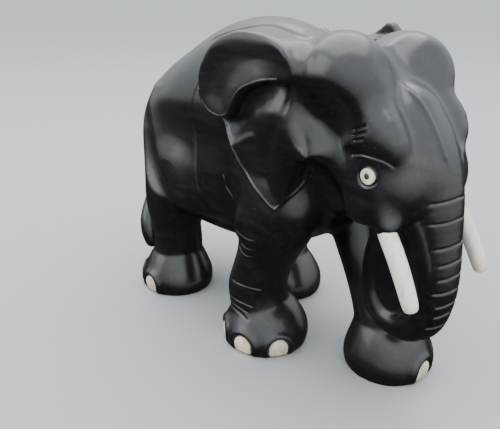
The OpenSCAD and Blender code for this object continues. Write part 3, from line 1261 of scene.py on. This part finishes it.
class Nodes:
    """A node tree, with short ways to lay nodes in it."""

    def __init__(self, tree: bpy.types.NodeTree) -> None:
        """Takes the tree that the nodes go in."""
        self.tree = tree

    def feed(self, socket: bpy.types.NodeSocket, value: object) -> None:
        """Gives a socket its value, or links another socket to it.

        Args:
            socket: the input that is set.
            value: the value, or the socket it comes from.
        """
        if isinstance(value, bpy.types.NodeSocket):
            self.tree.links.new(value, socket)
        else:
            socket.default_value = value

    def lay(self, kind: str, **inputs: object) -> bpy.types.Node:
        """Puts a node in the tree.

        Args:
            kind: the node's type.
            inputs: values or sockets for its inputs, with _ in place of a space.

        Returns:
            The new node.
        """
        node = self.tree.nodes.new(kind)
        for key, value in inputs.items():
            self.feed(node.inputs[key.replace("_", " ")], value)
        return node

    def maths(self, operation: str, *values: object) -> bpy.types.NodeSocket:
        """Works out a sum.

        Args:
            operation: the sum's name.
            values: numbers or sockets, in the node's order.

        Returns:
            The result's socket.
        """
        node = self.tree.nodes.new("ShaderNodeMath")
        node.operation = operation
        for socket, value in zip(node.inputs, values):
            self.feed(socket, value)
        return node.outputs[0]

    def mix(self, blend: str, share: object, first: object, second: object) -> bpy.types.NodeSocket:
        """Mixes two colours.

        Args:
            blend: the way of mixing.
            share: how much of the second colour there is.
            first: the first colour or its socket.
            second: the second colour or its socket.

        Returns:
            The mixed colour's socket.
        """
        node = self.tree.nodes.new("ShaderNodeMix")
        node.data_type, node.blend_type = "RGBA", blend
        factor, a, b = node.inputs[0], node.inputs[6], node.inputs[7]  # the colour sockets
        for socket, value in ((factor, share), (a, first), (b, second)):
            self.feed(socket, value)
        return node.outputs[2]

    def ramp(self, value: bpy.types.NodeSocket, stops: Table) -> bpy.types.NodeSocket:
        """Turns a value into a colour.

        Args:
            value: the value's socket.
            stops: rows of place, red, green, blue.

        Returns:
            The colour's socket.
        """
        node = self.lay("ShaderNodeValToRGB", Fac=value)
        points = node.color_ramp.elements
        for _ in stops[2:]:
            points.new(0.5)
        for point, (position, *color) in zip(points, stops):
            point.position = position
            point.color = (*color, 1)
        return node.outputs["Color"]


class Board(Nodes):
    """The node board of one material."""

    def __init__(self, name: str) -> None:
        """Makes a new material whose shader is empty of textures.

        Args:
            name: the material's name.
        """
        self.mat = bpy.data.materials.new(name)
        self.mat.use_nodes = True
        super().__init__(self.mat.node_tree)
        self.shader = self.tree.nodes["Principled BSDF"]

    def span(self, value: bpy.types.NodeSocket, low: float, high: float, to_low: float,
             to_high: float) -> bpy.types.NodeSocket:
        """Maps a value from one range to another.

        Args:
            value: the value's socket.
            low: where the first range starts.
            high: where it ends.
            to_low: where the second range starts.
            to_high: where it ends.

        Returns:
            The mapped value's socket.
        """
        node = self.lay("ShaderNodeMapRange", Value=value, From_Min=low, From_Max=high,
                        To_Min=to_low, To_Max=to_high)
        return node.outputs["Result"]

    def noise(self, stretch: Vec, scale: float, detail: float) -> bpy.types.NodeSocket:
        """Lays noise over the object's own space.

        Args:
            stretch: how much finer the noise is along each axis.
            scale: how fine it is, per metre.
            detail: how many finer layers it has.

        Returns:
            The noise value's socket.
        """
        spot = self.lay("ShaderNodeTexCoord").outputs["Object"]
        sized = self.lay("ShaderNodeMapping", Vector=spot, Scale=stretch).outputs["Vector"]
        return self.lay("ShaderNodeTexNoise", Vector=sized, Scale=scale,
                        Detail=detail).outputs["Fac"]

    def set(self, **inputs: object) -> None:
        """Gives the shader's inputs their values or sockets."""
        for key, value in inputs.items():
            self.feed(self.shader.inputs[key.replace("_", " ")], value)

    def bump(self, layers: Sequence[tuple[bpy.types.NodeSocket, float, float]]) -> None:
        """Stacks bumps on the shader.

        Args:
            layers: rows of height socket, strength and depth in metres.
        """
        under = None
        for height, strength, deep in layers:
            node = self.lay("ShaderNodeBump", Height=height, Strength=strength, Distance=deep)
            if under:
                self.feed(node.inputs["Normal"], under)
            under = node.outputs["Normal"]
        self.feed(self.shader.inputs["Normal"], under)


@dataclass(frozen=True)
class Ebony:
    """Near-black wood, polished by hand, with faint brown grain, tool marks and dust."""

    name: str = "ebony"
    dark: Vec = (0.0045, 0.004, 0.0045)
    mid: Vec = (0.007, 0.006, 0.0065)
    warm: Vec = (0.019, 0.012, 0.0095)
    rough: Vec = (0.25, 0.42)
    coat: float = 0.6
    coat_rough: float = 0.2
    dust: Vec = (0.09, 0.085, 0.08)
    worn: Table = ((0.35, 0.8, 0.8, 0.82), (0.7, 1.35, 1.25, 1.2))  # tint from matt to rubbed

    def make(self) -> bpy.types.Material:
        """Builds the material.

        Returns:
            The wood's material.
        """
        board = Board(self.name)
        grain = board.noise((0.35, 3.0, 2.2), 90, 6)
        broad = board.noise((1, 1, 1), 16, 4)
        fine = board.noise((1, 1, 1), 520, 3)
        specks = board.noise((1, 1, 1), 900, 1)
        marks = board.noise((1.6, 1, 0.5), 130, 2)
        wood = board.ramp(grain, ((0.3, *self.dark), (0.52, *self.mid), (0.75, *self.warm)))
        worn = board.mix("MULTIPLY", 1.0, wood, board.ramp(broad, self.worn))
        dusty = board.mix("MIX", board.span(specks, 0.7, 0.78, 0, 0.6), worn, (*self.dust, 1))
        board.set(Base_Color=dusty, Roughness=board.span(broad, 0.3, 0.7, *self.rough),
                  Coat_Weight=self.coat, Coat_Roughness=self.coat_rough)
        board.bump(((marks, 0.35, 0.0006), (grain, 0.25, 0.00025), (fine, 0.2, 0.00012)))
        return board.mat


@dataclass(frozen=True)
class Bone:
    """Polished bone: cream, with long faint streaks and a little grime."""

    name: str = "bone"
    pale: Vec = (0.86, 0.82, 0.70)
    deep: Vec = (0.68, 0.60, 0.45)
    light: Vec = (0.88, 0.85, 0.74)
    rough: Vec = (0.22, 0.4)
    glow: float = 0.12

    def make(self) -> bpy.types.Material:
        """Builds the material.

        Returns:
            The bone's material.
        """
        board = Board(self.name)
        streak = board.noise((1.0, 1.0, 0.3), 160, 5)
        broad = board.noise((1, 1, 1), 60, 3)
        fine = board.noise((1, 1, 1), 700, 2)
        tint = board.ramp(streak, ((0.32, *self.deep), (0.55, *self.pale), (0.8, *self.light)))
        board.set(Base_Color=tint, Roughness=board.span(broad, 0.3, 0.7, *self.rough),
                  Subsurface_Weight=self.glow, Subsurface_Scale=0.002, Coat_Weight=0.25,
                  Coat_Roughness=0.15)
        board.bump(((streak, 0.25, 0.0002), (fine, 0.15, 0.0001)))
        return board.mat


@dataclass(frozen=True)
class Steel:
    """The dull dark metal of the pupil pins."""

    name: str = "pin_steel"
    low: Vec = (0.05, 0.048, 0.046)
    high: Vec = (0.16, 0.15, 0.14)

    def make(self) -> bpy.types.Material:
        """Builds the material.

        Returns:
            The steel's material.
        """
        board = Board(self.name)
        stain = board.noise((1, 1, 1), 900, 4)
        board.set(Base_Color=board.ramp(stain, ((0.35, *self.low), (0.7, *self.high))),
                  Metallic=0.7, Roughness=board.span(stain, 0.3, 0.7, 0.3, 0.55))
        board.bump(((stain, 0.3, 0.0001),))
        return board.mat


# ---- studio ----


@dataclass(frozen=True)
class Lamp:
    """A square area lamp that faces the elephant."""

    name: str
    at: Vec  # in metres
    size: float
    watts: float
    color: Vec = (0.93, 0.965, 1.0)
    target: Vec = (0, 0, 0.12)

    def hang(self) -> None:
        """Adds the lamp to the scene."""
        data = bpy.data.lights.new(self.name, "AREA")
        data.size, data.energy, data.color = self.size, self.watts, self.color
        lamp = bpy.data.objects.new(self.name, data)
        lamp.location = self.at
        way = Vector(self.target) - Vector(self.at)
        lamp.rotation_euler = way.to_track_quat("-Z", "Y").to_euler()
        bpy.context.scene.collection.objects.link(lamp)


@dataclass(frozen=True)
class Studio:
    """Floor, lights and camera."""

    lens: float = 39.6
    eye: Vec = (0.3227, -0.2928, 0.2761)
    aim: Vec = (-0.708, 0.590, -0.389)
    floor_half: float = 60.0
    floor_tone: float = 0.4
    floor_rough: float = 0.7
    sky: float = 2.15
    sky_tint: Vec = (0.86, 0.94, 1.0)
    sky_levels: Table = ((0.05, 0.02), (0.12, 0.3), (0.35, 0.46), (0.8, 1.0))  # height, level
    horizon: float = 0.12  # the height above that stands for the horizon
    wall_ahead: float = 0.42  # how much brighter the room is ahead of the elephant
    lamps: Sequence[Lamp] = (
        Lamp("sky_window", (-0.3, 0.2, 1.7), 2.2, 40),
        Lamp("right_window", (-1.1, -1.9, 1.3), 1.6, 16),
    )

    def floor(self) -> bpy.types.Object:
        """Makes the plain pale floor.

        Returns:
            The floor.
        """
        mesh = bpy.data.meshes.new("floor")
        r = self.floor_half
        mesh.from_pydata([(-r, -r, 0), (r, -r, 0), (r, r, 0), (-r, r, 0)], [], [(0, 1, 2, 3)])
        piece = bpy.data.objects.new("floor", mesh)
        bpy.context.scene.collection.objects.link(piece)
        mat = bpy.data.materials.new("floor_paint")
        mat.use_nodes = True
        shader = mat.node_tree.nodes["Principled BSDF"]
        shader.inputs["Base Color"].default_value = (*[self.floor_tone] * 3, 1)
        shader.inputs["Roughness"].default_value = self.floor_rough
        mesh.materials.append(mat)
        piece.visible_glossy = False
        return piece

    def room(self) -> None:
        """Makes a world that is bright overhead and dark below the table's edge."""
        world = bpy.data.worlds.new("room")
        world.use_nodes = True
        board = Nodes(world.node_tree)
        way = board.lay("ShaderNodeTexCoord").outputs["Generated"]
        parts = board.lay("ShaderNodeSeparateXYZ", Vector=way).outputs
        ahead = board.maths("MAXIMUM", parts["X"], 0.0)
        tilted = board.maths("MULTIPLY_ADD", ahead, self.wall_ahead, parts["Z"])
        height = board.maths("ADD", tilted, self.horizon)
        stops = [(h, *(level * c for c in self.sky_tint)) for h, level in self.sky_levels]
        back = world.node_tree.nodes["Background"].inputs
        board.feed(back["Color"], board.ramp(height, stops))
        back["Strength"].default_value = self.sky
        bpy.context.scene.world = world

    def build(self) -> None:
        """Makes the floor, the lights, the world and the camera."""
        self.floor()
        for lamp in self.lamps:
            lamp.hang()
        self.room()
        data = bpy.data.cameras.new("camera")
        data.sensor_fit, data.sensor_width, data.lens = "HORIZONTAL", 36.0, self.lens
        data.clip_start = 0.01
        camera = bpy.data.objects.new("camera", data)
        camera.location = self.eye
        camera.rotation_euler = Vector(self.aim).to_track_quat("-Z", "Y").to_euler()
        bpy.context.scene.collection.objects.link(camera)
        bpy.context.scene.camera = camera


def main() -> None:
    """Builds every piece in order."""
    logging.basicConfig(level=logging.INFO, format="%(message)s")
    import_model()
    wood, bone, steel = Ebony().make(), Bone().make(), Steel().make()
    aged = Bone("aged_bone", (0.76, 0.69, 0.52), (0.56, 0.47, 0.31)).make()
    body = Carving()
    body.dress(body.build(), "carved_body", "dark_wood", wood)
    for side in Side:
        name = side.name.lower()
        tusk, eye = Tusk(side), Eye(side)
        tusk.dress(tusk.build(), f"tusk_{name}", "pale_inlay", bone)
        washer = eye.turned(f"eye_{name}_bone", eye.washer)
        eye.dress(washer, f"eye_disc_{name}", "pale_inlay", aged)
        eye.dress(eye.turned(f"pupil_{name}_steel", eye.pin), f"eye_pin_{name}", "pupil", steel)
    for nail in NAILS:
        nail.dress(nail.build(), f"nail_{nail.foot.name}_{nail.number}", "pale_inlay", aged)
    Studio().build()


if __name__ == "__main__":
    main()
